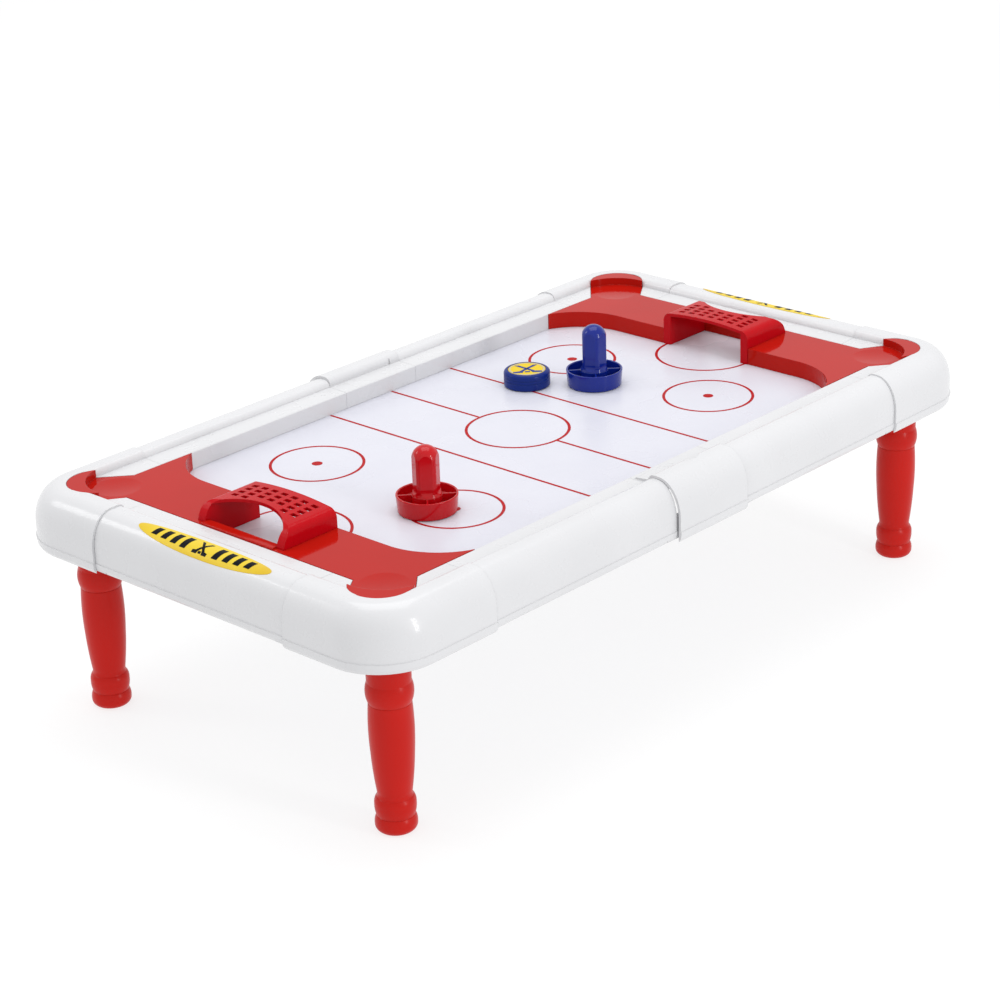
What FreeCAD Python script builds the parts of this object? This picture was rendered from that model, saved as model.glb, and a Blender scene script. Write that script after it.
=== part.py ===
import FreeCAD, Part
from math import acos, asin, atan2, copysign, cos, pi, radians, sin, sqrt
import os

V = FreeCAD.Vector
UP = V(0, 0, 1)
ORIGIN = V(0, 0, 0)

# Frame of the part: +X along the long axis, +Y across, +Z up.
# The origin is on the floor, midway between the four feet. Millimetres.

# ---- overall size -------------------------------------------------------
HALF_LENGTH = 422.7        # outer face of an end rail
HALF_WIDTH = 238.0         # outer face of a side rail
RAIL_WIDTH = 56.0          # wall face to outer face of a rail
FIELD_TOP = 201.0          # playing surface above the floor
WALL_TOP = 218.0           # top of the walls round the playing surface
CREST_TOP = 225.0          # highest line of a rail
RAIL_BOTTOM = 172.0        # lower edge of a rail

WALL_X = HALF_LENGTH - RAIL_WIDTH
WALL_Y = HALF_WIDTH - RAIL_WIDTH

# ---- rail section -------------------------------------------------------
SHELL = 2.4                # moulded wall thickness
SHOULDER_WIDE = 22.0       # width of the rounded shoulder
SHOULDER_TALL = 32.0       # height of the rounded shoulder
SIDE_STEP = 23.0           # step line on a side rail, from the wall face
END_STEP = 18.0            # step line on an end rail, which leaves room for the label
STEP_RISE = 1.3
RISER_WIDE = 7.0           # rounded rise from the step line to the crest
BAND_TALL = 8.5            # band along the lower edge of the skirt
BAND_OUT = 0.8
BAND_TUCK = 2.0            # how far the lower edge turns inward
GROOVE_DEEP = 9.3          # groove that holds the edge of the board
LEDGE_THICK = 2.5          # ledge under the board
END_LIP = 4.0              # end rails reach this much further in

# ---- playing board ------------------------------------------------------
BOARD_THICK = 3.0
BOARD_GAP = 0.2
BOARD_UNDER_RAIL = 8.8

# ---- lengths of the frame pieces ---------------------------------------
CORNER_TO_X = 290.0        # corner shells run inward to this |x|
CORNER_TO_Y = 122.0        # and to this |y|
JOINER_HALF = 49.0         # half length of a rail joiner
SEAM = 0.15                # gap left at each seam
CORNER_OUTSET = 2.3        # how far a corner shell stands proud
CORNER_DROP = 1.5
JOINER_OUTSET = 4.4
JOINER_DROP = 1.8
LIFT_PER_OUTSET = 0.6      # share of an outset that also raises the rail top
TONGUE_LONG = 12.0
TONGUE_THICK = 2.0

# ---- the two joiners differ on top --------------------------------------
SCOOP_FLOOR = 0.9          # flat scoop above the wall top, right joiner
SCOOP_LINE = [(16.0, 4.0), (12.0, 11.0), (7.0, 22.0), (0.0, 30.0), (-7.5, 32.0),
              (-15.0, 29.4), (-22.0, 25.6), (-29.0, SIDE_STEP + 0.4)]
SCOOP_CEILING = 33.0       # the hollow stays low out to here
CAP_FROM = 6.0             # raised cap beside the scoop, from the wall face
NOTCH_X = 35.0             # small notch in the step line, left joiner
NOTCH_LONG = 2.0
NOTCH_DEEP = 1.2

# ---- end plates ---------------------------------------------------------
PLATE_BACK = 362.4
PLATE_FRONT = 293.3
HORN_TIP = 253.0
HORN_RADIUS = 70.4
PLATE_SIDE = WALL_Y - 0.3
LOBE_X = 366.0
LOBE_Y = 181.5
LOBE_RADIUS = 28.3
NECK_SIDE_X = 323.5        # the neck of a lobe leaves the long side here
NECK_END_Y = 145.0         # and the back edge here
CRESCENT_RISE = 0.8        # raised crescent of a lobe above the rail crest
SCOOP_X = 340.5
SCOOP_Y = 162.5
SCOOP_RADIUS = 43.0
DISH_X = 352.0
DISH_Y = 171.0
DISH_RADIUS = 22.0
DISH_DEEP = 0.9
PLATE_SKIN = 2.2
MOUTH_HALF = 46.0          # half width of the goal mouth
MOUTH_BACK = 350.0
CURB_TALL = 1.5            # low curb behind the goal mouth

# ---- goal hoods ---------------------------------------------------------
HOOD_FRONT = 292.6
HOOD_BACK = 358.0
HOOD_HALF = 55.0
HOOD_EAVE = 234.5          # roof height above the side walls
HOOD_CREST = 238.5         # roof height on the centre line
HOOD_ROOF = 3.2
HOOD_ROUND = 26.0          # rounding down at the back
HOOD_SHOULDER = 9.0        # rounding along the eaves
HOOD_ARC = 62.0            # hollow back edge of the roof
HOOD_ARC_NEAR = 328.0
HOLE_COLUMNS = 7
HOLE_ROWS = 4
HOLE_PITCH_Y = 12.6
HOLE_PITCH_X = 8.2
HOLE_FIRST_X = 302.5
HOLE_WIDE = 7.4
HOLE_LONG = 4.8

# ---- legs ---------------------------------------------------------------
LEG_X = 369.0
LEG_Y = 188.0
SOCKET_OUTER = 18.2
SOCKET_INNER = 15.6
TENON_RADIUS = 15.2
TENON_TOP = 196.5
LEG_BORE = 11.5

# ---- loose playing pieces ----------------------------------------------
MALLET_RADIUS = 28.5
MALLET_FOOT_RADIUS = 27.3
MALLET_CUP_TALL = 16.9
MALLET_WALL = 2.0
MALLET_FLOOR = 8.0
MALLET_HUB = 14.0
KNOB_RADIUS = 12.6
KNOB_FLAT_AT = 11.3        # axis to each finger flat
KNOB_FLATS = 5
KNOB_TOP = 63.0
PUCK_RADIUS = 23.5
PUCK_TALL = 16.8
PUCK_SHOULDER = 3.6
DISC_RADIUS = 19.0
DISC_DEEP = 1.2
GLIDE = 0.3                # play between a sliding piece and the board

RED_MALLET = (-187.5, -62.1)
BLUE_MALLET = (154.3, 32.5)
PUCK = (111.5, 85.5)

# ---- labels -------------------------------------------------------------
LABEL_HALF_LONG = 84.0
LABEL_HALF_WIDE = 9.7
LABEL_AT = 38.6            # centre of the label from the wall face
LABEL_THICK = 0.4
LABEL_SHIFT = 7.0          # along the rail
LABEL_BLUNT = 2.2          # 2 is an ellipse, more gives blunter ends

os.makedirs("parts", exist_ok=True)


def save(name, shape):
    """Write one node."""
    shape.exportStep("parts/%s.step" % name)


def box(x0, x1, y0, y1, z0, z1):
    """Box between two corners, given as ranges."""
    return Part.makeBox(x1 - x0, y1 - y0, z1 - z0, V(x0, y0, z0))


def rod(x, y, z0, z1, radius):
    """Upright cylinder."""
    return Part.makeCylinder(radius, z1 - z0, V(x, y, z0), UP)


def polygon(points):
    """Closed flat face through points (d, z) in the XZ plane."""
    corners = [V(d, 0, z) for d, z in points]
    corners.append(corners[0])
    return Part.Face(Part.makePolygon(corners))


def flat_polygon(points, height):
    """Closed flat face through points (x, y) at one height."""
    corners = [V(x, y, height) for x, y in points]
    corners.append(corners[0])
    return Part.Face(Part.makePolygon(corners))


def half_turn(shape):
    """Copy of a shape turned half a turn about the vertical axis."""
    return shape.rotated(ORIGIN, UP, 180)


def shoulder(center_d, wide, tall, base):
    """Quarter ellipse from the crest of a rail to the top of its skirt."""
    ellipse = Part.Ellipse(V(center_d, 0, base + tall), V(center_d + wide, 0, base), V(center_d, 0, base))
    return Part.Arc(ellipse, 0, pi / 2).toShape()


def riser(step_at, lift):
    """Rounded rise from the step line of a rail to its crest."""
    rise_from = WALL_TOP + STEP_RISE
    crest = CREST_TOP + lift
    tall = crest - rise_from
    radius = (RISER_WIDE ** 2 + tall ** 2) / (2 * tall)
    half = asin(RISER_WIDE / radius) / 2
    end_d = step_at + RISER_WIDE
    middle = V(end_d - radius * sin(half), 0, crest - radius + radius * cos(half))
    return Part.Arc(V(step_at, 0, rise_from), middle, V(end_d, 0, crest)).toShape()


def rail_outline(inner, step_at, outset, drop):
    """Outer face of a rail section: d runs outward from the wall, z up."""
    lift = LIFT_PER_OUTSET * outset
    edge = RAIL_WIDTH + outset
    center = RAIL_WIDTH - SHOULDER_WIDE
    low = RAIL_BOTTOM - drop
    base = CREST_TOP - SHOULDER_TALL
    band = RAIL_BOTTOM + BAND_TALL
    path = [V(step_at, 0, WALL_TOP + STEP_RISE)]
    path.append(V(step_at, 0, WALL_TOP + 0.5))
    path.append(V(inner + 0.8, 0, WALL_TOP))
    path.append(V(inner, 0, WALL_TOP - 0.8))
    path.append(V(inner, 0, low))
    path.append(V(edge - BAND_TUCK, 0, low))
    path.append(V(edge + 0.2 * BAND_OUT, 0, low + 0.4 * BAND_TALL))
    path.append(V(edge + BAND_OUT, 0, band - 1.0))
    path.append(V(edge + BAND_OUT, 0, band - 0.4))
    path.append(V(edge, 0, band))
    path.append(V(edge, 0, base))
    edges = [Part.makeLine(a, b) for a, b in zip(path, path[1:])]
    edges.append(riser(step_at, lift))
    edges.append(Part.makeLine(V(step_at + RISER_WIDE, 0, CREST_TOP + lift), V(center, 0, CREST_TOP + lift)))
    edges.append(shoulder(center, SHOULDER_WIDE + outset, SHOULDER_TALL + lift, base))
    return Part.Face(Part.Wire(Part.__sortEdges__(edges)))


def rail_hollow(inner, low_until, outset, drop):
    """Hollow of a rail section, open underneath and below the ledge."""
    rib = inner + GROOVE_DEEP + SHELL
    center = RAIL_WIDTH - SHOULDER_WIDE
    base = CREST_TOP - SHOULDER_TALL
    edge = RAIL_WIDTH + outset - SHELL
    low = RAIL_BOTTOM - drop - 5.0
    ledge = FIELD_TOP - BOARD_THICK - LEDGE_THICK
    tall = SHOULDER_TALL - SHELL + LIFT_PER_OUTSET * outset
    path = [V(edge, 0, base), V(edge, 0, low), V(inner - 5.0, 0, low), V(inner - 5.0, 0, ledge)]
    path.append(V(rib, 0, ledge))
    path.append(V(rib, 0, WALL_TOP - SHELL))
    path.append(V(low_until, 0, WALL_TOP - SHELL + 0.2))
    path.append(V(center, 0, base + tall))
    edges = [Part.makeLine(a, b) for a, b in zip(path, path[1:])]
    edges.append(shoulder(center, edge - center, tall, base))
    return Part.Face(Part.Wire(Part.__sortEdges__(edges)))


def rail_cell(inner):
    """Small closed space between the wall of a rail and its rib."""
    top = WALL_TOP - SHELL
    return polygon([(inner + SHELL, FIELD_TOP - 1.0), (inner + GROOVE_DEEP, FIELD_TOP - 1.0),
                    (inner + GROOVE_DEEP, top), (inner + SHELL, top)])


def run_of_rail(faces, wall, start, end, along_x):
    """Sweep section faces along a side (+Y side) or an end (+X end)."""
    shapes = []
    for face in faces:
        if along_x:
            turned = face.rotated(ORIGIN, UP, 90).translated(V(start, wall, 0))
            shapes.append(turned.extrude(V(end - start, 0, 0)))
        else:
            moved = face.translated(V(wall, start, 0))
            shapes.append(moved.extrude(V(0, end - start, 0)))
    return shapes


BOARD_HALF_X = WALL_X - END_LIP + BOARD_UNDER_RAIL
BOARD_HALF_Y = WALL_Y + BOARD_UNDER_RAIL


def board_space():
    """Room taken by the board inside the frame, with its play."""
    gx = BOARD_HALF_X + BOARD_GAP
    gy = BOARD_HALF_Y + BOARD_GAP
    return box(-gx, gx, -gy, gy, FIELD_TOP - BOARD_THICK, FIELD_TOP + 0.1)


def tongues(wall, seam_at, direction, along_x):
    """Two blades at the end of a rail that key it into the next piece."""
    root = seam_at - direction * TONGUE_LONG
    tip = seam_at + direction * TONGUE_LONG
    rib = GROOVE_DEEP + SHELL
    if not along_x:
        rib = rib - END_LIP
    skirt = RAIL_WIDTH - 0.4
    blades = []
    for near, far, z0, z1, gap in [(rib, rib + TONGUE_THICK, FIELD_TOP - 4.0, WALL_TOP - 6.0, 0.25),
                                   (skirt - TONGUE_THICK, skirt, RAIL_BOTTOM + 1.0, FIELD_TOP - 5.0, 0.0)]:
        for a, b, d0, d1 in [(root, seam_at, near, far), (seam_at, tip, near + gap, far)]:
            low, high = min(a, b), max(a, b)
            if along_x:
                blades.append(box(low, high, wall + d0, wall + d1, z0, z1))
            else:
                blades.append(box(wall + d0, wall + d1, low, high, z0, z1))
    return blades


def side_rail(start, end):
    """Straight side rail on the +Y side between two seams."""
    body, hollow, cell = run_of_rail(
        [rail_outline(0, SIDE_STEP, 0, 0), rail_hollow(0, SIDE_STEP + 3.0, 0, 0), rail_cell(0)],
        WALL_Y, start, end, True)
    rail = body.cut(hollow).cut(cell).cut(board_space())
    for blade in tongues(WALL_Y, start, -1, True) + tongues(WALL_Y, end, 1, True):
        rail = rail.fuse(blade)
    return rail.removeSplitter()


def end_rail():
    """Straight end rail at the +X end."""
    reach = CORNER_TO_Y - SEAM
    body, hollow, cell = run_of_rail(
        [rail_outline(-END_LIP, END_STEP, 0, 0), rail_hollow(-END_LIP, END_STEP + 3.0, 0, 0),
         rail_cell(-END_LIP)], WALL_X, -reach, reach, False)
    rail = body.cut(hollow).cut(cell).cut(board_space())
    for blade in tongues(WALL_X, -reach, -1, False) + tongues(WALL_X, reach, 1, False):
        rail = rail.fuse(blade)
    return rail.removeSplitter()


def corner_shell():
    """Corner of the frame at +X +Y with the socket for a leg."""
    outset = CORNER_OUTSET
    drop = CORNER_DROP
    solids = []
    hollows = []
    side_faces = [rail_outline(0, SIDE_STEP, outset, drop), rail_hollow(0, SIDE_STEP + 3.0, outset, drop),
                  rail_cell(0)]
    end_faces = [rail_outline(-END_LIP, END_STEP, outset, drop),
                 rail_hollow(-END_LIP, END_STEP + 3.0, outset, drop), rail_cell(-END_LIP)]
    for faces, wall, start, end, along_x in [(side_faces, WALL_Y, CORNER_TO_X, WALL_X, True),
                                             (end_faces, WALL_X, CORNER_TO_Y, WALL_Y, False)]:
        body, hollow, cell = run_of_rail(faces, wall, start, end, along_x)
        solids.append(body)
        hollows.extend([hollow, cell])
    trim = polygon([(0, RAIL_BOTTOM - 20.0), (RAIL_WIDTH + 10.0, RAIL_BOTTOM - 20.0),
                    (RAIL_WIDTH + 10.0, CREST_TOP + 10.0), (0, CREST_TOP + 10.0)])
    corner = V(WALL_X, WALL_Y, 0)
    quarter_out = side_faces[0].revolve(ORIGIN, UP, 90).translated(corner)
    quarter_in = side_faces[1].common(trim).Faces[0].revolve(ORIGIN, UP, 90).translated(corner)
    shell = quarter_out
    for body in solids:
        shell = shell.fuse(body)
    whole = shell
    for hollow in hollows + [quarter_in]:
        shell = shell.cut(hollow)
    floor_box = box(LEG_X - 34.0, HALF_LENGTH + 5.0, LEG_Y - 34.0, HALF_WIDTH + 5.0,
                    RAIL_BOTTOM - drop, RAIL_BOTTOM - drop + SHELL)
    floor = whole.common(floor_box)
    socket = rod(LEG_X, LEG_Y, RAIL_BOTTOM - drop, FIELD_TOP - BOARD_THICK - BOARD_GAP, SOCKET_OUTER)
    shell = shell.fuse(floor).fuse(socket)
    shell = shell.cut(rod(LEG_X, LEG_Y, RAIL_BOTTOM - 20.0, TENON_TOP + 0.1, SOCKET_INNER))
    shell = shell.cut(rod(LOBE_X, LOBE_Y, FIELD_TOP + 0.1, CREST_TOP + 20.0, LOBE_RADIUS + 0.3))
    shell = shell.cut(lobe_neck(0.3, FIELD_TOP + 0.1, CREST_TOP + 20.0))
    shell = shell.cut(board_space())
    return shell.removeSplitter()


def rail_joiner(scooped):
    """Sleeve over the meeting ends of two side rails, on the +Y side."""
    half = JOINER_HALF
    crest = CREST_TOP + LIFT_PER_OUTSET * JOINER_OUTSET
    ceiling = SCOOP_CEILING if scooped else SIDE_STEP + 3.0
    faces = [rail_outline(0, SIDE_STEP, JOINER_OUTSET, JOINER_DROP),
             rail_hollow(0, ceiling, JOINER_OUTSET, JOINER_DROP), rail_cell(0)]
    body, hollow, cell = run_of_rail(faces, WALL_Y, -half, half, True)
    if scooped:
        crest_from = SIDE_STEP + RISER_WIDE
        cap = polygon([(CAP_FROM, WALL_TOP - 1.0), (crest_from + 1.0, WALL_TOP - 1.0),
                       (crest_from + 1.0, crest), (crest_from - 2.5, crest - 0.8),
                       (SIDE_STEP - 1.0, WALL_TOP + 3.0), (CAP_FROM + 2.0, WALL_TOP + 1.6),
                       (CAP_FROM, WALL_TOP + 0.5)])
        body = body.fuse(run_of_rail([cap], WALL_Y, 0.0, half - 2.0, True)[0])
        line = Part.BSplineCurve()
        floor = WALL_TOP + SCOOP_FLOOR
        line.interpolate([V(x, WALL_Y + d, floor) for x, d in SCOOP_LINE])
        x_in, d_in = SCOOP_LINE[0]
        x_out, d_out = SCOOP_LINE[-1]
        outside = [(x_out, d_out), (-half - 1.0, d_out), (-half - 1.0, -5.0), (x_in, -5.0), (x_in, d_in)]
        corners = [V(x, WALL_Y + d, floor) for x, d in outside]
        edges = [line.toShape()] + [Part.makeLine(a, b) for a, b in zip(corners, corners[1:])]
        body = body.cut(Part.Face(Part.Wire(Part.__sortEdges__(edges))).extrude(V(0, 0, 20.0)))
    else:
        body = body.cut(box(NOTCH_X - NOTCH_LONG / 2, NOTCH_X + NOTCH_LONG / 2, WALL_Y + SIDE_STEP - 1.0,
                            WALL_Y + SIDE_STEP + NOTCH_DEEP, WALL_TOP + 0.5, crest))
    return body.cut(hollow).cut(cell).cut(board_space()).removeSplitter()


def touch(x, y, radius, side):
    """Point where a line from (x, y) touches a circle round the lobe centre."""
    gap = sqrt((x - LOBE_X) ** 2 + (y - LOBE_Y) ** 2)
    turn = atan2(y - LOBE_Y, x - LOBE_X) + side * acos(radius / gap)
    return (LOBE_X + radius * cos(turn), LOBE_Y + radius * sin(turn))


def lobe_neck(grow, z0, z1):
    """Block that joins a lobe to its end plate, at +X +Y."""
    r = LOBE_RADIUS + grow
    root = PLATE_FRONT + 25.0
    back = (PLATE_BACK + grow, NECK_END_Y - grow)
    side = (NECK_SIDE_X - grow, PLATE_SIDE + grow)
    points = [(root, PLATE_SIDE - 45.0), (back[0], PLATE_SIDE - 45.0), back, touch(back[0], back[1], r, 1),
              (LOBE_X, LOBE_Y), touch(side[0], side[1], r, -1), side, (root, side[1])]
    return flat_polygon(points, z0).extrude(V(0, 0, z1 - z0))


def plate_blank(shrink, z0, z1):
    """Plan shape of the +X end plate, pulled in by the given amount."""
    back = PLATE_BACK - shrink
    side = PLATE_SIDE - shrink
    front = PLATE_FRONT + shrink
    center_x = front - HORN_RADIUS
    bend = PLATE_SIDE - sqrt(HORN_RADIUS ** 2 - (HORN_RADIUS - PLATE_FRONT + HORN_TIP) ** 2)
    turn = asin((side - bend) / HORN_RADIUS)
    tip_x = center_x + HORN_RADIUS * cos(turn)
    mid_x = center_x + HORN_RADIUS * cos(turn / 2)
    mid_y = bend + HORN_RADIUS * sin(turn / 2)
    edges = []
    edges.append(Part.makeLine(V(front, -bend, z0), V(front, bend, z0)))
    edges.append(Part.Arc(V(front, bend, z0), V(mid_x, mid_y, z0), V(tip_x, side, z0)).toShape())
    edges.append(Part.makeLine(V(tip_x, side, z0), V(back, side, z0)))
    edges.append(Part.makeLine(V(back, side, z0), V(back, -side, z0)))
    edges.append(Part.makeLine(V(back, -side, z0), V(tip_x, -side, z0)))
    edges.append(Part.Arc(V(tip_x, -side, z0), V(mid_x, -mid_y, z0), V(front, -bend, z0)).toShape())
    return Part.Face(Part.Wire(Part.__sortEdges__(edges))).extrude(V(0, 0, z1 - z0))


def mirrored(shape):
    """Mirror image across the long centre plane."""
    return shape.mirror(ORIGIN, V(0, 1, 0))


def end_plate():
    """Red cover plate at the +X end with its two corner lobes."""
    low = FIELD_TOP + 0.2
    plate = plate_blank(0.0, low, WALL_TOP)
    inside = plate_blank(PLATE_SKIN, low - 1.0, WALL_TOP - PLATE_SKIN)
    lobe = rod(LOBE_X, LOBE_Y, low, CREST_TOP + CRESCENT_RISE, LOBE_RADIUS)
    neck = lobe_neck(0.0, low, WALL_TOP)
    lobe = lobe.cut(rod(SCOOP_X, SCOOP_Y, WALL_TOP, CREST_TOP + 10.0, SCOOP_RADIUS)).fuse(neck)
    lobe_inside = rod(LOBE_X, LOBE_Y, low - 1.0, WALL_TOP - PLATE_SKIN, LOBE_RADIUS - PLATE_SKIN)
    ball = (DISH_RADIUS ** 2 + DISH_DEEP ** 2) / (2 * DISH_DEEP)
    dish = Part.makeSphere(ball, V(DISH_X, DISH_Y, WALL_TOP + ball - DISH_DEEP))
    dish = dish.common(rod(DISH_X, DISH_Y, WALL_TOP - 2.0 * DISH_DEEP, WALL_TOP + 0.1, DISH_RADIUS))
    plate = plate.fuse(lobe).fuse(mirrored(lobe))
    for cutter in [inside, lobe_inside, mirrored(lobe_inside), dish, mirrored(dish)]:
        plate = plate.cut(cutter)
    rim = box(PLATE_FRONT, MOUTH_BACK + 4.0, -HOOD_HALF - 2.6, HOOD_HALF + 2.6, low, WALL_TOP)
    plate = plate.fuse(rim)
    slot = box(HOOD_FRONT - 2.0, MOUTH_BACK + 0.3, -HOOD_HALF - 0.25, HOOD_HALF + 0.25,
               low - 1.0, WALL_TOP + 10.0)
    plate = plate.cut(slot)
    curb_top = WALL_TOP + CURB_TALL
    reach = MOUTH_HALF - 0.4
    curb = box(MOUTH_BACK + 2.0, PLATE_BACK, -reach, reach, WALL_TOP - 1.0, curb_top)
    curb = curb.makeFillet(CURB_TALL - 0.2, [e for e in curb.Edges if abs(e.BoundBox.ZMin - curb_top) < 0.01
                                             and e.BoundBox.YLength > 1.0])
    return plate.fuse(curb).removeSplitter()


def roof_rod(rise, radius_out):
    """Long cylinder along X whose top makes the crowned goal roof."""
    return Part.makeCylinder(radius_out, 90.0, V(HOOD_FRONT - 10.0, 0, rise - radius_out), V(1, 0, 0))


def goal_hood():
    """Arched, perforated goal hood at the +X end."""
    crown = (HOOD_HALF ** 2 + (HOOD_CREST - HOOD_EAVE) ** 2) / (2 * (HOOD_CREST - HOOD_EAVE))
    low = FIELD_TOP + 0.2
    outer = box(HOOD_FRONT, HOOD_BACK, -HOOD_HALF, HOOD_HALF, low, HOOD_CREST + 5.0)
    round_at = V(HOOD_BACK - HOOD_ROUND, 0, HOOD_CREST - HOOD_ROUND)
    side = [(HOOD_FRONT, low), (HOOD_BACK, low), (HOOD_BACK, round_at.z)]
    for step in range(1, 12):
        turn = radians(90.0 * step / 12)
        side.append((round_at.x + HOOD_ROUND * cos(turn), round_at.z + HOOD_ROUND * sin(turn)))
    side.append((round_at.x, HOOD_CREST))
    side.append((HOOD_FRONT, HOOD_CREST))
    outline = polygon(side).translated(V(0, -90, 0)).extrude(V(0, 180, 0))
    arch = roof_rod(HOOD_CREST, crown)
    body = outer.common(arch)
    ridge = [e for e in body.Edges if e.BoundBox.XLength > 50 and e.BoundBox.ZMin > HOOD_EAVE - 1.0]
    body = body.makeFillet(HOOD_SHOULDER, ridge)
    body = body.common(outline)
    tunnel = box(HOOD_FRONT - 5.0, HOOD_BACK + 5.0, -MOUTH_HALF, MOUTH_HALF, low - 5.0, HOOD_CREST)
    tunnel = tunnel.common(roof_rod(HOOD_CREST - HOOD_ROOF, crown))
    body = body.cut(tunnel)
    behind = box(MOUTH_BACK, HOOD_BACK + 10.0, -90.0, 90.0, low - 1.0, WALL_TOP)
    body = body.cut(behind)
    hollow_back = rod(HOOD_ARC_NEAR + HOOD_ARC, 0, low, HOOD_CREST + 10.0, HOOD_ARC)
    hollow_back = hollow_back.common(box(HOOD_FRONT, HOOD_BACK + 10.0, -MOUTH_HALF, MOUTH_HALF, low,
                                         HOOD_CREST + 10.0))
    body = body.cut(hollow_back)
    for row in range(HOLE_ROWS):
        x = HOLE_FIRST_X + row * HOLE_PITCH_X
        for column in range(HOLE_COLUMNS):
            y = (column - (HOLE_COLUMNS - 1) / 2) * HOLE_PITCH_Y
            edge_x = HOOD_ARC_NEAR + HOOD_ARC - sqrt(HOOD_ARC ** 2 - (abs(y) + HOLE_WIDE / 2) ** 2)
            if abs(y) < 30.0:
                edge_x = HOOD_ARC_NEAR + HOOD_ARC - sqrt(HOOD_ARC ** 2 - max(abs(y) - HOLE_WIDE / 2, 0) ** 2)
            if x + HOLE_LONG / 2 + 1.5 > edge_x:
                continue
            body = body.cut(box(x - HOLE_LONG / 2, x + HOLE_LONG / 2, y - HOLE_WIDE / 2, y + HOLE_WIDE / 2,
                                HOOD_EAVE - 8.0, HOOD_CREST + 5.0))
    return body.removeSplitter()


def turned(path):
    """Solid of revolution from a path of ("to", r, z) and ("via", r, z, r, z)."""
    edges = []
    here = V(path[0][1], 0, path[0][2])
    first = here
    for step in path[1:]:
        if step[0] == "to":
            there = V(step[1], 0, step[2])
            edges.append(Part.makeLine(here, there))
        else:
            there = V(step[3], 0, step[4])
            edges.append(Part.Arc(here, V(step[1], 0, step[2]), there).toShape())
        here = there
    edges.append(Part.makeLine(here, first))
    return Part.Face(Part.Wire(edges)).revolve(ORIGIN, UP, 360)


def leg():
    """Moulded leg with beads at the foot and the top, standing on the floor."""
    neck_top = RAIL_BOTTOM - CORNER_DROP - 0.1
    foot = [("to", 0, 0), ("to", 12.8, 0), ("via", 17.0, 2.2, 18.6, 7.0), ("via", 18.2, 11.6, 16.9, 14.8),
            ("to", 16.5, 15.2), ("to", 16.9, 15.6), ("via", 18.0, 20.5, 18.2, 26.0),
            ("via", 17.8, 29.6, 16.4, 32.6), ("to", 15.9, 33.0), ("via", 15.4, 34.8, 15.3, 36.8)]
    shaft = [("via", 17.6, 56.0, 19.0, 75.0), ("via", 19.8, 98.0, 18.8, 121.2), ("to", 18.4, 121.6),
             ("to", 18.8, 122.0)]
    head = [("via", 20.9, 131.5, 19.2, 141.0), ("via", 19.5, 155.0, 20.4, neck_top),
            ("to", TENON_RADIUS, neck_top), ("to", TENON_RADIUS, TENON_TOP - 1.5),
            ("to", TENON_RADIUS - 1.5, TENON_TOP), ("to", LEG_BORE, TENON_TOP), ("to", LEG_BORE, 12.0),
            ("to", 0, 12.0)]
    body = turned(foot + shaft + head)
    return body.translated(V(LEG_X, LEG_Y, 0))


def mallet_cup():
    """Round striker cup with four ribs and a hub, standing on z = 0."""
    r_top = MALLET_RADIUS
    r_low = MALLET_FOOT_RADIUS
    wall = MALLET_WALL
    top = MALLET_CUP_TALL
    cup = turned([("to", 0, 0), ("to", r_low - 1.5, 0), ("via", r_low - 0.4, 0.4, r_low, 1.5),
                  ("to", r_top, top - 0.8), ("via", r_top - 0.3, top - 0.1, r_top - 1.0, top),
                  ("via", r_top - wall + 0.2, top - 0.3, r_top - wall, top - 1.0),
                  ("to", r_low - wall, MALLET_FLOOR + 1.0), ("to", r_low - wall - 1.0, MALLET_FLOOR),
                  ("to", MALLET_HUB + 1.2, MALLET_FLOOR), ("to", MALLET_HUB, MALLET_FLOOR + 1.5),
                  ("to", MALLET_HUB, top - 1.2), ("to", 9.0, top - 1.2), ("to", 9.0, 6.0), ("to", 0, 6.0)])
    reach = r_top - wall + 0.3
    for turn in (0, 90, 180, 270):
        rib = box(MALLET_HUB - 1.0, reach, -0.8, 0.8, MALLET_FLOOR - 0.5, top - 1.2)
        cup = cup.fuse(rib.rotated(ORIGIN, UP, turn))
    return cup.removeSplitter()


def mallet_knob():
    """Domed grip with finger flats, its peg going down into the hub."""
    seat = MALLET_CUP_TALL - 1.2
    r = KNOB_RADIUS
    grip = turned([("to", 0, 6.2), ("to", 8.8, 6.2), ("to", 8.8, seat), ("to", r + 1.2, seat),
                   ("via", r + 0.7, seat + 1.3, r + 0.2, seat + 3.2), ("to", r, seat + 6.0),
                   ("to", r, KNOB_TOP - r),
                   ("via", r * sin(radians(45)), KNOB_TOP - r + r * cos(radians(45)), 0, KNOB_TOP)])
    for step in range(KNOB_FLATS):
        slab = box(KNOB_FLAT_AT, KNOB_FLAT_AT + 10.0, -20.0, 20.0, seat + 6.0, KNOB_TOP + 5.0)
        toe = rod(0, 0, -20.0, 20.0, 6.0).rotated(ORIGIN, V(1, 0, 0), 90)
        slab = slab.fuse(toe.translated(V(KNOB_FLAT_AT + 6.0, 0, seat + 6.0)))
        grip = grip.cut(slab.rotated(ORIGIN, UP, step * 360.0 / KNOB_FLATS))
    return grip.removeSplitter()


def puck_body():
    """Puck with a rounded shoulder, two fine grooves and a seat for its disc."""
    r = PUCK_RADIUS
    top = PUCK_TALL
    s = PUCK_SHOULDER
    return turned([("to", 0, 0), ("to", r - 1.8, 0), ("via", r - 0.5, 0.5, r, 1.8), ("to", r, 7.0),
                   ("to", r - 0.6, 7.4), ("to", r, 7.8), ("to", r, 10.2), ("to", r - 0.6, 10.6),
                   ("to", r, 11.0), ("to", r, top - s), ("via", r - 0.3 * s, top - 0.3 * s, r - s, top),
                   ("to", DISC_RADIUS + 0.1, top), ("to", DISC_RADIUS + 0.1, top - DISC_DEEP),
                   ("to", 0, top - DISC_DEEP)])


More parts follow.
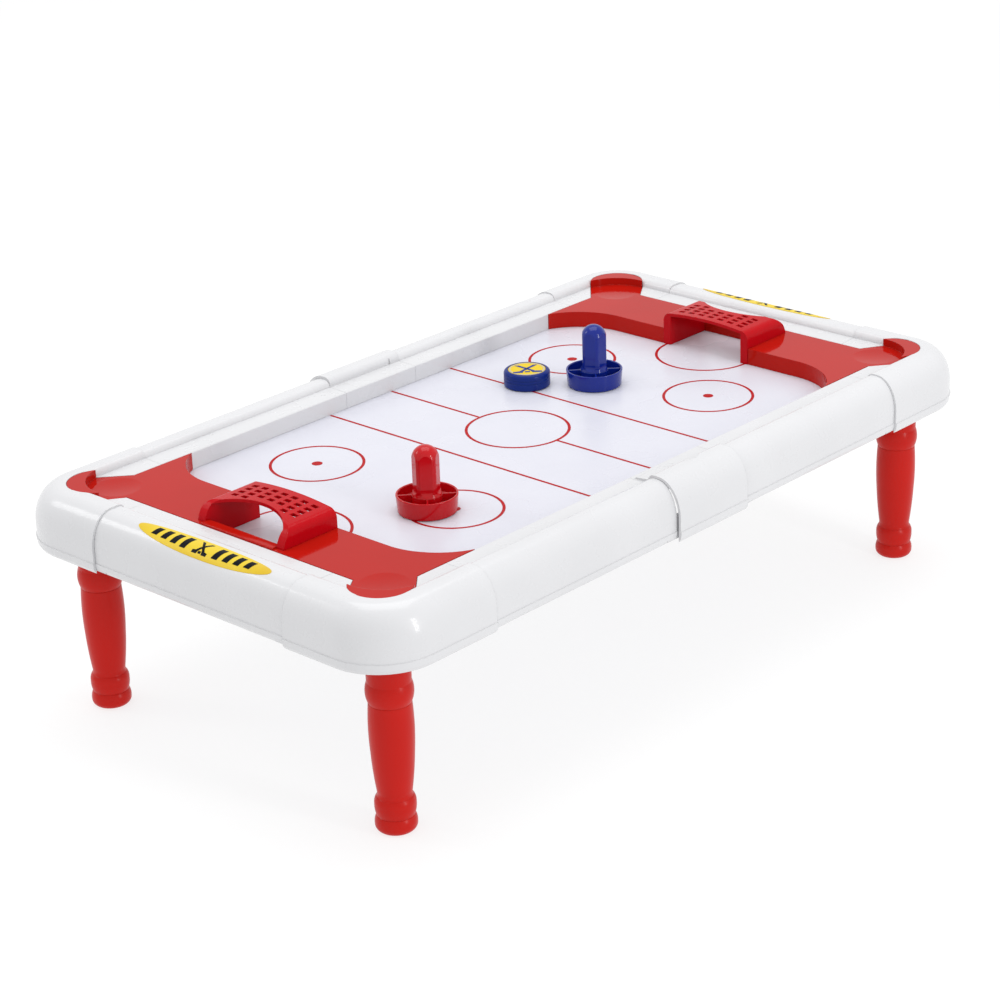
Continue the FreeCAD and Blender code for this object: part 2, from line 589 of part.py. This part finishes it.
def puck_disc():
    """Thin disc set into the top of the puck."""
    top = PUCK_TALL
    return turned([("to", 0, top - DISC_DEEP), ("to", DISC_RADIUS, top - DISC_DEEP),
                   ("to", DISC_RADIUS, top - 0.5), ("to", DISC_RADIUS - 0.3, top - 0.2),
                   ("to", 0, top - 0.2)])


def end_label():
    """Oval label that follows the rounded top of the +X end rail."""
    sheet = rail_outline(-END_LIP, END_STEP, 0, 0)
    lifted = sheet.translated(V(0.35 * LABEL_THICK, 0, LABEL_THICK))
    reach = LABEL_HALF_LONG + LABEL_SHIFT + 2.0
    skin = run_of_rail([lifted], WALL_X, -reach, reach, False)[0]
    rail = run_of_rail([sheet], WALL_X, -reach - 1.0, reach + 1.0, False)[0]
    edge = Part.BSplineCurve()
    points = []
    for step in range(48):
        c, d = cos(step * pi / 24), sin(step * pi / 24)
        points.append(V(WALL_X + LABEL_AT + LABEL_HALF_WIDE * copysign(abs(c) ** (2 / LABEL_BLUNT), c),
                        LABEL_SHIFT + LABEL_HALF_LONG * copysign(abs(d) ** (2 / LABEL_BLUNT), d), FIELD_TOP))
    edge.interpolate(points, PeriodicFlag=True)
    prism = Part.Face(Part.Wire([edge.toShape()])).extrude(V(0, 0, 100.0))
    return skin.cut(rail).common(prism)


# ---- frame --------------------------------------------------------------
corner = corner_shell()
corner_mirror = mirrored(corner)
save("corner_shell_far_left", corner)
save("corner_shell_far_right", corner_mirror)
save("corner_shell_near_right", half_turn(corner))
save("corner_shell_near_left", half_turn(corner_mirror))

far_end = end_rail()
save("end_rail_far", far_end)
save("end_rail_near", half_turn(far_end))

left_far = side_rail(JOINER_HALF + SEAM, CORNER_TO_X - SEAM)
left_near = side_rail(-CORNER_TO_X + SEAM, -JOINER_HALF - SEAM)
save("side_rail_left_far", left_far)
save("side_rail_left_near", left_near)
save("side_rail_right_near", half_turn(left_far))
save("side_rail_right_far", half_turn(left_near))

save("rail_joiner_left", rail_joiner(False))
save("rail_joiner_right", half_turn(rail_joiner(True)))

board = box(-BOARD_HALF_X, BOARD_HALF_X, -BOARD_HALF_Y, BOARD_HALF_Y,
            FIELD_TOP - BOARD_THICK + 0.05, FIELD_TOP)
save("field_board", board)

# ---- goals --------------------------------------------------------------
far_plate = end_plate()
save("end_plate_far", far_plate)
save("end_plate_near", half_turn(far_plate))
far_hood = goal_hood()
save("goal_hood_far", far_hood)
save("goal_hood_near", half_turn(far_hood))
far_label = end_label()
save("end_label_far", far_label)
save("end_label_near", half_turn(far_label))

# ---- legs ---------------------------------------------------------------
far_left_leg = leg()
save("leg_far_left", far_left_leg)
save("leg_far_right", mirrored(far_left_leg))
save("leg_near_right", half_turn(far_left_leg))
save("leg_near_left", half_turn(mirrored(far_left_leg)))

# ---- loose pieces -------------------------------------------------------
cup = mallet_cup()
knob = mallet_knob()
for colour, (x, y), turn in [("red", RED_MALLET, 225), ("blue", BLUE_MALLET, 200)]:
    at = V(x, y, FIELD_TOP + GLIDE)
    save("mallet_%s_cup" % colour, cup.rotated(ORIGIN, UP, 45).translated(at))
    save("mallet_%s_knob" % colour, knob.rotated(ORIGIN, UP, turn).translated(at))
puck_at = V(PUCK[0], PUCK[1], FIELD_TOP + GLIDE)
save("puck_body", puck_body().translated(puck_at))
save("puck_disc", puck_disc().translated(puck_at))
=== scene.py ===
from math import cos, pi, radians, sin

import bmesh
import bpy
from mathutils import Matrix, Vector
from mathutils.bvhtree import BVHTree


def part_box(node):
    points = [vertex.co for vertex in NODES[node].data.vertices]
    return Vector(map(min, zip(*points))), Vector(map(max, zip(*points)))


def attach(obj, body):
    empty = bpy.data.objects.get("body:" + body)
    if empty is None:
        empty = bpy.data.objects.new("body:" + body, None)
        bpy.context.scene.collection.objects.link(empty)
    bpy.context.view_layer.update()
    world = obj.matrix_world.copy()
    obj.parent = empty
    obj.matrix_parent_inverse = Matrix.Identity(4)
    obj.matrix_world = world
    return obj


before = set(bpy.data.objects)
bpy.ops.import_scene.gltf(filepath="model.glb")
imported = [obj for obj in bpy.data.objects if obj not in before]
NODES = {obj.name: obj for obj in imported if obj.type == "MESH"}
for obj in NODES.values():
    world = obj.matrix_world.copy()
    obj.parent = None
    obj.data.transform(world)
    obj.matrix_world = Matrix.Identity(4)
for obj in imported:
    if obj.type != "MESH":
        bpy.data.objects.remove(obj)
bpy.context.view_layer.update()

# ---- sizes shared with the CAD, in metres -------------------------------
FIELD_TOP = 0.201
WALL_Y = 0.182

# ---- printed lines of the board -----------------------------------------
INK = 0.00009              # height of ink above its surface
INK_OVERLAP = 0.00002      # a ring that crosses other lines lies this much higher
LINE = 0.0029              # width of a line
CENTRE_RADIUS = 0.050
SPOT_RADIUS = 0.0442
SPOT_DOT = 0.0052
SPOT_X = 0.1835            # spot circles from the middle of the print
SPOT_Y = 0.0895
ZONE_X = 0.086             # zone lines from the middle of the print
SHIFT_X = 0.0135           # the print sits a little off the middle of the frame
SHIFT_Y = 0.0100
CREASE_X = 0.2935          # centre of a goal crease, in the middle of the frame
CREASE_RADIUS = 0.051
LINE_END = WALL_Y - 0.0006 # lines across the board stop here

# ---- printed figures ----------------------------------------------------
FIGURE_TALL = 0.0070       # half height of a label figure
FIGURE_SHAFT = 0.0034      # thickness of its sticks
BARS = 4                   # leaning bars on each side of it
BAR_FIRST = 0.0205         # first bar, from the middle of the label
BAR_PITCH = 0.0128
BAR_WIDE = 0.0072
BAR_LEAN = 0.4             # sideways lean of a bar, in bar widths
BAR_TALL = 0.92            # height of the first bar, in figure heights
BAR_SHRINK = 0.10          # each further bar is lower by this share
PUCK_FIGURE = 0.0112
PUCK_SHAFT = 0.0046
PUCK_TURN = radians(47.0)  # turns the puck's figure to the near corner
RIM_RADIUS = 0.0173        # pale ring printed round the puck's disc
RIM_WIDE = 0.0014

# ---- camera, floor and light --------------------------------------------
CAMERA_AT = (-1.7445, -1.6134, 1.1239)
CAMERA_LENS = 95.25
SENSOR = 36.0
YAW, PITCH, ROLL = radians(43.19), radians(22.62), radians(-2.02)
FLOOR_RADIUS = 14.0
LIGHT_AIM = (0.0, 0.0, 0.2)


# ---- shader helpers -----------------------------------------------------
class Shader:
    """A node material built up step by step."""

    def __init__(self, name):
        self.material = bpy.data.materials.new(name)
        self.material.use_nodes = True
        self.tree = self.material.node_tree
        self.tree.nodes.clear()
        self.output = self.add("ShaderNodeOutputMaterial")
        self.body = self.add("ShaderNodeBsdfPrincipled")
        self.tree.links.new(self.body.outputs[0], self.output.inputs["Surface"])
        self.place = self.add("ShaderNodeTexCoord").outputs["Object"]

    def add(self, kind, **values):
        node = self.tree.nodes.new(kind)
        for key, value in values.items():
            setattr(node, key, value)
        return node

    def feed(self, node, socket, value):
        """Links an output, or sets a plain value."""
        target = node.inputs[socket]
        if isinstance(value, bpy.types.NodeSocket):
            self.tree.links.new(value, target)
        else:
            target.default_value = value

    def noise(self, scale, detail=3.0, rough=0.5, at=None):
        node = self.add("ShaderNodeTexNoise")
        self.feed(node, "Vector", at or self.place)
        self.feed(node, "Scale", scale)
        self.feed(node, "Detail", detail)
        self.feed(node, "Roughness", rough)
        return node.outputs[0]

    def ramp(self, value, low, high, start=0.0, end=1.0):
        node = self.add("ShaderNodeMapRange", clamp=True)
        self.feed(node, "Value", value)
        for socket, number in (("From Min", start), ("From Max", end), ("To Min", low), ("To Max", high)):
            self.feed(node, socket, number)
        return node.outputs[0]

    def blend(self, factor, first, second):
        node = self.add("ShaderNodeMix", data_type="RGBA")
        self.feed(node, 0, factor)
        self.feed(node, 6, first)
        self.feed(node, 7, second)
        return node.outputs[2]

    def math(self, operation, first, second=0.0):
        node = self.add("ShaderNodeMath", operation=operation)
        self.feed(node, 0, first)
        self.feed(node, 1, second)
        return node.outputs[0]

    def bump(self, height, strength, distance, normal=None):
        node = self.add("ShaderNodeBump")
        self.feed(node, "Height", height)
        self.feed(node, "Strength", strength)
        self.feed(node, "Distance", distance)
        if normal:
            self.feed(node, "Normal", normal)
        return node.outputs[0]

    def rounded(self, radius):
        node = self.add("ShaderNodeBevel", samples=4)
        node.inputs["Radius"].default_value = radius
        return node.outputs[0]


def rgb(r, g, b):
    return (r, g, b, 1.0)


def moulded(name, base, edge, gloss, shine=0.15, coat=0.2, coat_gloss=0.06, drift_share=0.03):
    """Moulded plastic: slow colour drift, paler rubbed edges, fine skin texture."""
    s = Shader(name)
    drift = s.noise(11.0, detail=2.0)
    dark = rgb(*((1.0 - drift_share) * c for c in base))
    pale = rgb(*((1.0 + drift_share) * c for c in base))
    colour = s.blend(s.ramp(drift, 0.0, 1.0, 0.35, 0.65), dark, pale)
    soft = s.rounded(0.0007)
    facing = s.add("ShaderNodeVectorMath", operation="DOT_PRODUCT")
    s.feed(facing, 0, soft)
    s.feed(facing, 1, s.add("ShaderNodeNewGeometry").outputs["Normal"])
    rubbed = s.ramp(facing.outputs["Value"], 0.8, 0.0, 0.80, 0.97)
    rubbed = s.math("MULTIPLY", rubbed, s.ramp(s.noise(90.0, detail=4.0), 0.2, 1.0, 0.40, 0.62))
    s.feed(s.body, "Base Color", s.blend(rubbed, colour, rgb(*edge)))
    smudge = s.noise(26.0, detail=5.0, rough=0.6)
    s.feed(s.body, "Roughness", s.ramp(smudge, gloss * 0.85, gloss * 1.2, 0.3, 0.7))
    s.feed(s.body, "Specular IOR Level", shine)
    s.feed(s.body, "Coat Weight", coat)
    s.feed(s.body, "Coat Roughness", coat_gloss)
    peel = s.math("ADD", s.noise(380.0, detail=2.0), s.math("MULTIPLY", s.noise(60.0, detail=1.0), 1.2))
    s.feed(s.body, "Normal", s.bump(peel, 0.05, 0.00006, soft))
    return s.material


def printed_board():
    """Printed hardboard: cool white ink, faint paper mottle, rubbed lanes in its gloss."""
    s = Shader("board_print")
    mottle = s.noise(14.0, detail=6.0, rough=0.65)
    colour = s.blend(s.ramp(mottle, 0.0, 1.0, 0.3, 0.7), rgb(0.610, 0.612, 0.680), rgb(0.640, 0.642, 0.705))
    s.feed(s.body, "Base Color", colour)
    s.feed(s.body, "Roughness", s.ramp(s.noise(7.0, detail=4.0), 0.24, 0.34, 0.3, 0.7))
    s.feed(s.body, "Specular IOR Level", 0.3)
    s.feed(s.body, "Normal", s.bump(s.noise(240.0, detail=3.0), 0.1, 0.00003))
    return s.material


def printed_ink(name, base, gloss=0.38):
    """Screen-printed ink: slightly uneven cover and a faint halftone bump."""
    s = Shader(name)
    patch = s.noise(55.0, detail=5.0, rough=0.7)
    thin = rgb(*(c * 1.06 + 0.004 for c in base))
    s.feed(s.body, "Base Color", s.blend(s.ramp(patch, 0.0, 0.6, 0.45, 0.75), rgb(*base), thin))
    s.feed(s.body, "Roughness", s.ramp(patch, gloss * 0.85, gloss * 1.2, 0.3, 0.7))
    s.feed(s.body, "Specular IOR Level", 0.08)
    s.feed(s.body, "Normal", s.bump(s.noise(900.0), 0.1, 0.00002))
    return s.material


def label_film():
    """Yellow film, deeper at both ends and along its lower, outer edge."""
    s = Shader("label_film")
    parts = s.add("ShaderNodeSeparateXYZ")
    s.feed(parts, 0, s.place)
    along = s.math("ABSOLUTE", parts.outputs[1])
    down = s.ramp(parts.outputs[2], 1.0, 0.0, 0.216, 0.2235)
    colour = s.blend(down, rgb(0.74, 0.55, 0.030), rgb(0.66, 0.43, 0.012))
    colour = s.blend(s.ramp(along, 0.0, 0.7, 0.055, 0.085), colour, rgb(0.60, 0.38, 0.012))
    mottle = s.noise(120.0, detail=4.0)
    uneven = s.ramp(mottle, 0.0, 0.2, 0.4, 0.7)
    s.feed(s.body, "Base Color", s.blend(uneven, colour, rgb(0.62, 0.40, 0.020)))
    s.feed(s.body, "Roughness", s.ramp(mottle, 0.28, 0.40, 0.3, 0.7))
    s.feed(s.body, "Specular IOR Level", 0.2)
    s.feed(s.body, "Normal", s.bump(s.noise(600.0), 0.1, 0.00003))
    return s.material


# Each moulded plastic: body colour, rubbed edge colour, roughness.
WHITE = moulded("frame_white", (0.640, 0.642, 0.657), (0.662, 0.663, 0.676), 0.27,
                shine=0.3, coat=0.25, drift_share=0.015)
PLATE = moulded("plate_red", (0.42, 0.008, 0.004), (0.48, 0.03, 0.022), 0.07, shine=0.10, coat=0.0)
HOOD = moulded("hood_red", (0.45, 0.0015, 0.006), (0.52, 0.03, 0.025), 0.28, shine=0.06, coat=0.08)
LEG = moulded("leg_red", (0.48, 0.005, 0.001), (0.53, 0.04, 0.022), 0.36,
              shine=0.10, coat=0.20, coat_gloss=0.22)
STRIKER_RED = moulded("striker_red", (0.46, 0.002, 0.006), (0.55, 0.04, 0.035), 0.22,
                      shine=0.10, coat=0.40)
STRIKER_BLUE = moulded("striker_blue", (0.003, 0.015, 0.215), (0.04, 0.09, 0.36), 0.20,
                       shine=0.10, coat=0.50)
PUCK_BLUE = moulded("puck_blue", (0.005, 0.020, 0.17), (0.04, 0.07, 0.26), 0.30, shine=0.10, coat=0.1)
BOARD = printed_board()
LINE_INK = printed_ink("line_ink", (0.40, 0.002, 0.004))
BLACK_INK = printed_ink("black_ink", (0.002, 0.003, 0.006), 0.30)
BLUE_INK = printed_ink("blue_ink", (0.010, 0.035, 0.22), 0.30)
DISC_INK = printed_ink("disc_ink", (0.70, 0.50, 0.006), 0.30)
RIM_INK = printed_ink("rim_ink", (0.48, 0.44, 0.36), 0.30)
LABEL = label_film()

FINISH = [("corner_shell", WHITE), ("end_rail", WHITE), ("side_rail", WHITE), ("rail_joiner", WHITE),
          ("end_plate", PLATE), ("goal_hood", HOOD), ("leg_", LEG), ("mallet_red", STRIKER_RED),
          ("mallet_blue", STRIKER_BLUE), ("puck_body", PUCK_BLUE), ("puck_disc", DISC_INK),
          ("field_board", BOARD), ("end_label", LABEL)]
for node_name, node in NODES.items():
    finish = next(material for start, material in FINISH if node_name.startswith(start))
    node.data.materials.clear()
    node.data.materials.append(finish)


# ---- printed shapes -----------------------------------------------------
def piece(name, bm, material, body):
    """Turns a bmesh into a named piece that rides on a body."""
    mesh = bpy.data.meshes.new(name)
    bmesh.ops.recalc_face_normals(bm, faces=bm.faces)
    bm.to_mesh(mesh)
    bm.free()
    mesh.materials.append(material)
    obj = bpy.data.objects.new(name, mesh)
    bpy.context.scene.collection.objects.link(obj)
    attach(obj, body)
    return obj


def ribbon(bm, points, width, height, closed=False):
    """Flat strip of even width along a line of (x, y) points."""
    rows = []
    count = len(points)
    for i, (x, y) in enumerate(points):
        before = points[i - 1] if closed or i > 0 else points[i]
        after = points[(i + 1) % count] if closed or i < count - 1 else points[i]
        tangent = Vector((after[0] - before[0], after[1] - before[1])).normalized()
        side = Vector((-tangent.y, tangent.x)) * width / 2
        rows.append([bm.verts.new((x + side.x, y + side.y, height)),
                     bm.verts.new((x - side.x, y - side.y, height))])
    for i in range(count if closed else count - 1):
        a, b = rows[i], rows[(i + 1) % count]
        bm.faces.new((a[0], a[1], b[1], b[0]))


def ring_points(cx, cy, radius, start=0.0, end=2 * pi, steps=96):
    """Points round a circle, or along part of one."""
    closed = abs(end - start - 2 * pi) < 1e-6
    count = steps if closed else steps + 1
    return [(cx + radius * cos(start + (end - start) * i / steps),
             cy + radius * sin(start + (end - start) * i / steps)) for i in range(count)]


def disc(bm, cx, cy, radius, height, steps=48):
    """Flat filled circle."""
    bm.faces.new([bm.verts.new((x, y, height)) for x, y in ring_points(cx, cy, radius, steps=steps)])


def field_lines():
    """Lines, circles and goal creases printed on the board."""
    lines = bmesh.new()
    height = FIELD_TOP + INK
    for x in (SHIFT_X - ZONE_X, SHIFT_X + ZONE_X):
        ribbon(lines, [(x, -LINE_END), (x, LINE_END)], LINE, height)
    for y0, y1 in ((-LINE_END, SHIFT_Y - CENTRE_RADIUS), (SHIFT_Y + CENTRE_RADIUS, LINE_END)):
        ribbon(lines, [(SHIFT_X, y0), (SHIFT_X, y1)], LINE, height)
    centre_ring = ring_points(SHIFT_X, SHIFT_Y, CENTRE_RADIUS, steps=128)
    ribbon(lines, centre_ring, LINE, height + INK_OVERLAP, closed=True)
    for side_x in (-1, 1):
        for side_y in (-1, 1):
            cx, cy = SHIFT_X + side_x * SPOT_X, SHIFT_Y + side_y * SPOT_Y
            ribbon(lines, ring_points(cx, cy, SPOT_RADIUS), LINE, height, closed=True)
            disc(lines, cx, cy, SPOT_DOT, height)
    for side, turn in ((-1, 0.0), (1, pi)):
        crease = ring_points(side * CREASE_X, 0.0, CREASE_RADIUS, turn - pi / 2, turn + pi / 2)
        ribbon(lines, crease, LINE, height)
    piece("field_lines", lines, LINE_INK, "frame")


field_lines()


# ---- printed figures on the labels and the puck --------------------------
def surface_of(node_name):
    """Search tree of a node's mesh, for laying ink on it."""
    mesh = NODES[node_name].data
    corners = [vertex.co.copy() for vertex in mesh.vertices]
    return BVHTree.FromPolygons(corners, [list(face.vertices) for face in mesh.polygons])


def inked(bm, tree, corners, to_plan, parts=(5, 14)):
    """Four-sided patch of ink, given by its corners in figure units, laid on a surface from above."""
    a, b, c, d = (Vector(corner) for corner in corners)
    columns, rows = parts
    grid = []
    for i in range(columns + 1):
        line = []
        for j in range(rows + 1):
            spot = a.lerp(b, i / columns).lerp(d.lerp(c, i / columns), j / rows)
            x, y = to_plan(spot.x, spot.y)
            point, normal, _, _ = tree.ray_cast(Vector((x, y, 0.3)), Vector((0.0, 0.0, -1.0)))
            line.append(bm.verts.new(point + normal * INK))
        grid.append(line)
    for i in range(columns):
        for j in range(rows):
            bm.faces.new((grid[i][j], grid[i + 1][j], grid[i + 1][j + 1], grid[i][j + 1]))


def sticks(size, shaft):
    """Two crossed sticks with blades and a puck between them, as corner lists."""
    patches = []
    for side in (-1, 1):
        heel, toe = side * 0.50 * size, side * 1.30 * size
        grip = -side * 0.85 * size
        half = shaft / 2
        patches.append([(grip - half, size), (grip + half, size), (heel + half, -0.55 * size),
                        (heel - half, -0.55 * size)])
        patches.append([(heel - side * half, -0.50 * size), (toe, -0.66 * size), (toe, -size),
                        (heel - side * 0.2 * half, -size)])
    patches.append([(-0.24 * size, -0.62 * size), (0.24 * size, -0.62 * size),
                    (0.24 * size, -0.92 * size), (-0.24 * size, -0.92 * size)])
    return patches


def bar(left, width, bottom, top, lean):
    """One leaning bar of a row."""
    return [(left, bottom), (left + width, bottom), (left + width + lean, top), (left + lean, top)]


def middle_of(node_name):
    """Middle of a node's box."""
    low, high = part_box(node_name)
    return (Vector(low) + Vector(high)) / 2


def label_figure(end_name, end):
    """Crossed sticks between two rows of leaning bars, on one end label."""
    tree = surface_of("end_label_" + end_name)
    centre = middle_of("end_label_" + end_name)

    def label_plan(u, v):
        return centre.x - end * v, centre.y + end * u

    patches = sticks(FIGURE_TALL, FIGURE_SHAFT)
    for side in (-1, 1):
        for k in range(BARS):
            left = side * (BAR_FIRST + BAR_PITCH * k) - 0.7 * BAR_WIDE
            tall = FIGURE_TALL * (BAR_TALL - BAR_SHRINK * k)
            patches.append(bar(left, BAR_WIDE, -tall, tall, BAR_LEAN * BAR_WIDE))
    figure = bmesh.new()
    for patch in patches:
        inked(figure, tree, patch, label_plan)
    piece("label_figure_" + end_name, figure, BLACK_INK, "frame")


def puck_prints():
    """Crossed sticks and a pale ring on the disc of the puck."""
    tree = surface_of("puck_disc")
    centre = middle_of("puck_disc")
    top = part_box("puck_disc")[1][2]

    def puck_plan(u, v):
        return (centre.x + u * sin(PUCK_TURN) + v * cos(PUCK_TURN),
                centre.y - u * cos(PUCK_TURN) + v * sin(PUCK_TURN))

    figure = bmesh.new()
    for patch in sticks(PUCK_FIGURE, PUCK_SHAFT):
        inked(figure, tree, patch, puck_plan)
    piece("puck_figure", figure, BLUE_INK, "puck")
    rim = bmesh.new()
    ribbon(rim, ring_points(centre.x, centre.y, RIM_RADIUS), RIM_WIDE, top + INK, closed=True)
    piece("puck_rim_print", rim, RIM_INK, "puck")


label_figure("far", 1)
label_figure("near", -1)
puck_prints()

# ---- camera -------------------------------------------------------------
camera_data = bpy.data.cameras.new("camera")
camera = bpy.data.objects.new("camera", camera_data)
bpy.context.scene.collection.objects.link(camera)
bpy.context.scene.camera = camera
camera_data.sensor_width = SENSOR
camera_data.lens = CAMERA_LENS
camera_data.clip_end = 50.0
forward = Vector((cos(PITCH) * cos(YAW), cos(PITCH) * sin(YAW), -sin(PITCH)))
level = Vector((sin(YAW), -cos(YAW), 0.0))
above = level.cross(forward)
right = cos(ROLL) * level + sin(ROLL) * above
top = -sin(ROLL) * level + cos(ROLL) * above
turn = Matrix((right, top, -forward)).transposed().to_4x4()
camera.matrix_world = Matrix.Translation(CAMERA_AT) @ turn

# ---- floor and light ----------------------------------------------------
floor_mesh = bpy.data.meshes.new("floor")
floor_bm = bmesh.new()
disc(floor_bm, 0.0, 0.0, FLOOR_RADIUS, 0.0, steps=64)
floor_bm.to_mesh(floor_mesh)
floor_bm.free()
floor = bpy.data.objects.new("floor", floor_mesh)
bpy.context.scene.collection.objects.link(floor)
floor_shader = Shader("floor_pale")
floor_shader.feed(floor_shader.body, "Base Color", rgb(0.24, 0.24, 0.24))
floor_shader.feed(floor_shader.body, "Roughness", 0.9)
floor_shader.feed(floor_shader.body, "Specular IOR Level", 0.0)
floor_shader.feed(floor_shader.body, "Emission Color", rgb(1.0, 1.0, 1.0))
floor_shader.feed(floor_shader.body, "Emission Strength", 0.76)
floor_mesh.materials.append(floor_shader.material)

world = bpy.data.worlds.new("studio")
bpy.context.scene.world = world
world.use_nodes = True
background = world.node_tree.nodes["Background"]
background.inputs["Color"].default_value = (1.0, 1.0, 1.0, 1.0)
background.inputs["Strength"].default_value = 0.92


def softbox(name, place, width, depth, power):
    """Rectangular area light aimed at the table."""
    data = bpy.data.lights.new(name, "AREA")
    data.shape = "RECTANGLE"
    data.size = width
    data.size_y = depth
    data.energy = power
    lamp = bpy.data.objects.new(name, data)
    bpy.context.scene.collection.objects.link(lamp)
    lamp.location = place
    lamp.rotation_mode = "QUATERNION"
    lamp.rotation_quaternion = (Vector(place) - Vector(LIGHT_AIM)).to_track_quat("Z", "Y")


softbox("overhead", (0.3, 0.3, 2.6), 2.2, 1.8, 27.0)
softbox("left_window", (-1.3, 2.0, 1.7), 0.5, 0.8, 6.0)
softbox("right_window", (0.1, -2.3, 0.85), 0.30, 1.3, 13.0)

bpy.context.scene.view_settings.view_transform = "Standard"
bpy.context.scene.view_settings.look = "None"
bpy.context.scene.view_settings.exposure = 0.0
